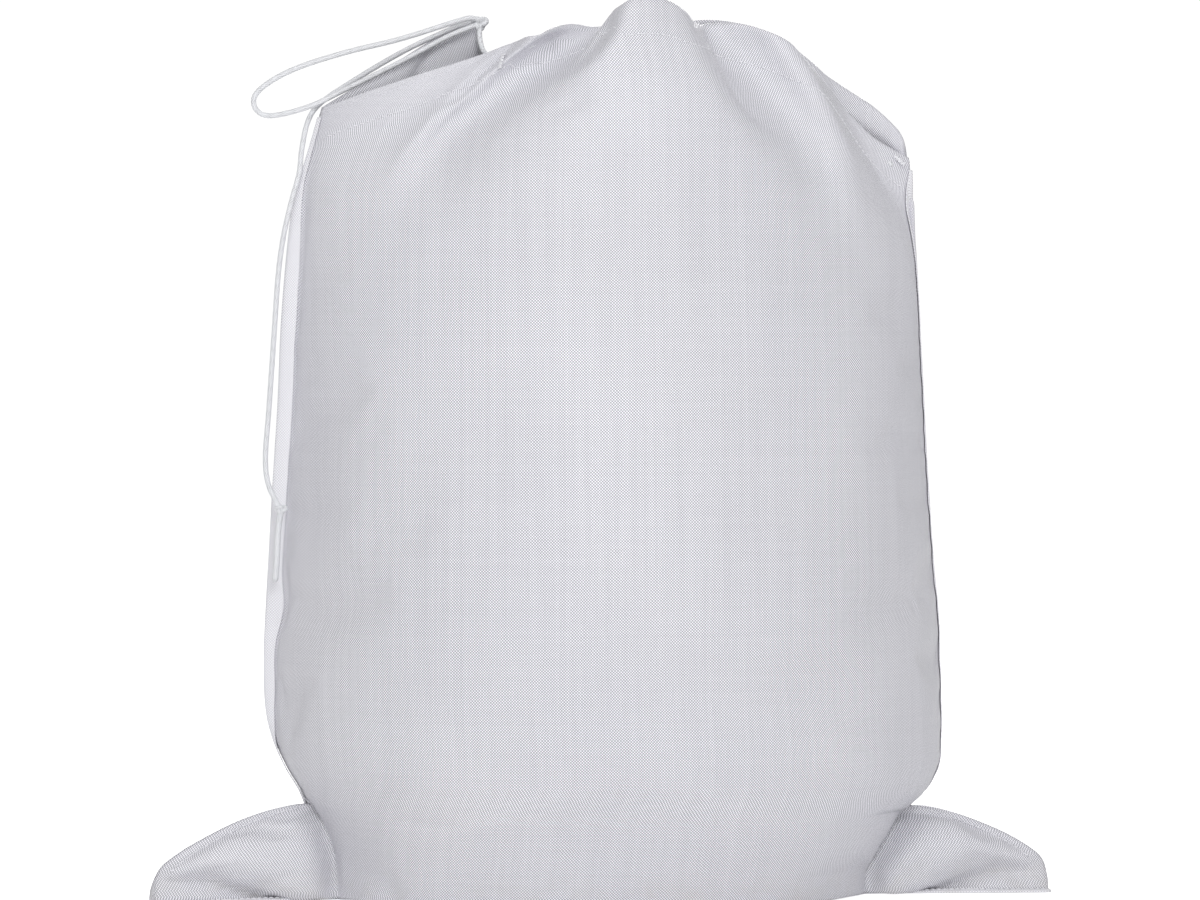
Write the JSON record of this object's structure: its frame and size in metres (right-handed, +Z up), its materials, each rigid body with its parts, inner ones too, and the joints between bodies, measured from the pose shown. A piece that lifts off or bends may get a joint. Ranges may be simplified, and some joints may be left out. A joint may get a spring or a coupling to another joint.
{
  "type": "drawstring mesh laundry bag",
  "caption": "White woven mesh laundry bag, filled out on its base, with ears at the bottom corners and a gathered mouth closed by a braided drawcord.",
  "frame": {"origin": "on the surface that the bag stands on, midway between the tips of its two bottom corners", "axes": "+Z up, -Y towards the front, +X towards the side seam away from the cord opening"},
  "size_m": [0.4956, 0.244, 0.49],
  "materials": {
    "mesh_fabric": "fine white polyester mesh, plain woven, with a slight satin glint",
    "seam_fabric": "the same mesh doubled at a seam, so a little brighter",
    "sewing_thread": "white polyester sewing thread",
    "braided_cord": "white braided polyester cord, slightly glossy"
  },
  "bodies": {
    "bag": {"front_panel": "mesh_fabric", "back_panel": "mesh_fabric", "left_side_seam": "seam_fabric", "right_side_seam": "seam_fabric", "bottom_seam": "seam_fabric", "left_side_stitching": "sewing_thread", "right_side_stitching": "sewing_thread", "bottom_stitching_front_row": "sewing_thread", "bottom_stitching_back_row": "sewing_thread", "right_seam_bar_tack": "sewing_thread", "casing_flap": "mesh_fabric", "drawcord_turn": "braided_cord"},
    "front_lip": {"front_casing": "mesh_fabric", "front_casing_stitching": "sewing_thread", "front_opening_bar_tack": "sewing_thread", "drawcord_front_run": "braided_cord"},
    "back_lip": {"back_casing": "mesh_fabric", "back_casing_stitching": "sewing_thread", "back_opening_bar_tack": "sewing_thread", "drawcord_back_run": "braided_cord"},
    "drawcord_end": {"opening_knot": "braided_cord", "drawcord_loop": "braided_cord", "drawcord_tail": "braided_cord", "stopper_knot": "braided_cord", "tail_end": "braided_cord"}
  },
  "joints": [
    {"name": "front_lip_open", "type": "hinge", "parent": "bag", "child": "front_lip", "pos_m": [0.048, -0.026, 0.41], "axis": [1, 0, 0], "range_deg": [0, 25]},
    {"name": "back_lip_open", "type": "hinge", "parent": "bag", "child": "back_lip", "pos_m": [0.048, 0.026, 0.41], "axis": [-1, 0, 0], "range_deg": [0, 25]},
    {"name": "drawcord_pull", "type": "slide", "parent": "bag", "child": "drawcord_end", "axis": [-1, 0, 0], "range_m": [0, 0.06]}
  ]
}
